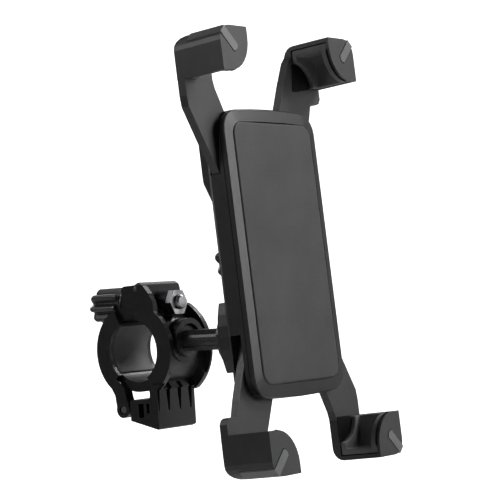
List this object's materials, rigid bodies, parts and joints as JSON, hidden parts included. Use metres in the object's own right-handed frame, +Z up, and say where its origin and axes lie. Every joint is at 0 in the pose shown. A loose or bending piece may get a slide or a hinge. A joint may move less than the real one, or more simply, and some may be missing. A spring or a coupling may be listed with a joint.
{
  "type": "bicycle phone mount",
  "caption": "Handlebar phone holder: a flat cradle with scissor levers and padded corner claws, on a ball joint and a hinged bar clamp with a hand screw.",
  "frame": {"origin": "in the middle of the front pad's face, where the phone's back rests", "axes": "+X along the handlebar, -Y the way the phone's screen faces, +Z up"},
  "size_m": [0.087, 0.1145, 0.168],
  "materials": {
    "black_plastic": "satin moulded ABS, fine texture",
    "dark_plastic": "plain moulded nylon",
    "pad_rubber": "smooth soft pad",
    "grip_rubber": "matt rubber",
    "grey_trim": "satin, lighter grey",
    "steel": "zinc plated",
    "spring_steel": "oiled wire"
  },
  "bodies": {
    "clamp_base": {"fixed_jaw": "black_plastic", "fixed_jaw_liner": "grip_rubber", "hinge_pin": "steel", "hex_nut": "steel", "nut_spacer": "dark_plastic", "ball_stud": "black_plastic", "stud_screw": "steel"},
    "clamp_swing": {"swing_jaw": "black_plastic", "swing_jaw_liner": "grip_rubber"},
    "hand_screw_slide": {"knob_washer": "dark_plastic"},
    "hand_screw": {"star_knob": "black_plastic", "clamp_bolt": "steel"},
    "ball_pitch": {"friction_seat": "grip_rubber"},
    "ball_yaw": {"pressure_cup": "dark_plastic"},
    "cradle": {"front_housing": "black_plastic", "front_pad": "pad_rubber", "rear_housing": "black_plastic", "housing_screw_1": "steel", "housing_screw_2": "steel", "housing_screw_3": "steel", "housing_screw_4": "steel", "ball_socket_housing": "black_plastic", "pivot_bolt": "steel", "return_spring": "spring_steel"},
    "ring_nut": {"socket_ring_nut": "black_plastic"},
    "lever_lock": {"lock_knob": "black_plastic", "lock_washer": "steel"},
    "rear_lever": {"lever_rear": "black_plastic", "corner_pad_upper_left": "grip_rubber", "corner_pad_lower_right": "grip_rubber", "claw_trim_upper_left": "grey_trim", "claw_trim_lower_right": "grey_trim"},
    "front_lever": {"lever_front": "black_plastic", "corner_pad_upper_right": "grip_rubber", "corner_pad_lower_left": "grip_rubber", "claw_trim_upper_right": "grey_trim", "claw_trim_lower_left": "grey_trim"}
  },
  "joints": [
    {"name": "hand_screw_travel", "type": "slide", "parent": "clamp_base", "child": "hand_screw_slide", "axis": [0, 0.9973, 0.0732], "range_m": [0, 0.006]},
    {"name": "hand_screw_turn", "type": "hinge", "parent": "hand_screw_slide", "child": "hand_screw", "pos_m": [0, 0.08389, -0.01073], "axis": [0, 0.9973, 0.0732], "range_deg": [0, 2160]},
    {"name": "clamp_hinge", "type": "hinge", "parent": "clamp_base", "child": "clamp_swing", "pos_m": [0, 0.08301, -0.05341], "axis": [-1, 0, 0], "range_deg": [0, 7]},
    {"name": "ball_pitch", "type": "hinge", "parent": "clamp_base", "child": "ball_pitch", "pos_m": [0, 0.024, -0.031], "axis": [1, 0, 0], "range_deg": [-15, 15]},
    {"name": "ball_yaw", "type": "hinge", "parent": "ball_pitch", "child": "ball_yaw", "pos_m": [0, 0.024, -0.031], "axis": [0, 0, 1], "range_deg": [-15, 15]},
    {"name": "ball_roll", "type": "hinge", "parent": "ball_yaw", "child": "cradle", "pos_m": [0, 0.024, -0.031], "axis": [0, 1, 0], "continuous": true},
    {"name": "ring_nut_turn", "type": "hinge", "parent": "cradle", "child": "ring_nut", "pos_m": [0, 0.024, -0.031], "axis": [0, 1, 0], "range_deg": [0, 90]},
    {"name": "lever_lock_turn", "type": "hinge", "parent": "cradle", "child": "lever_lock", "pos_m": [0, 0.015, 0], "axis": [0, 1, 0], "range_deg": [0, 360]},
    {"name": "rear_lever_swing", "type": "hinge", "parent": "cradle", "child": "rear_lever", "pos_m": [0, 0.0085, 0], "axis": [0, -1, 0], "range_deg": [-10, 0]},
    {"name": "front_lever_swing", "type": "hinge", "parent": "cradle", "child": "front_lever", "pos_m": [0, 0.0059, 0], "axis": [0, -1, 0], "range_deg": [-5, 5]}
  ],
  "couplings": [
    {"joint": "hand_screw_turn", "follows": "hand_screw_travel", "rad_per_m": 6283.2},
    {"joint": "clamp_hinge", "follows": "hand_screw_travel", "rad_per_m": 20.33}
  ]
}
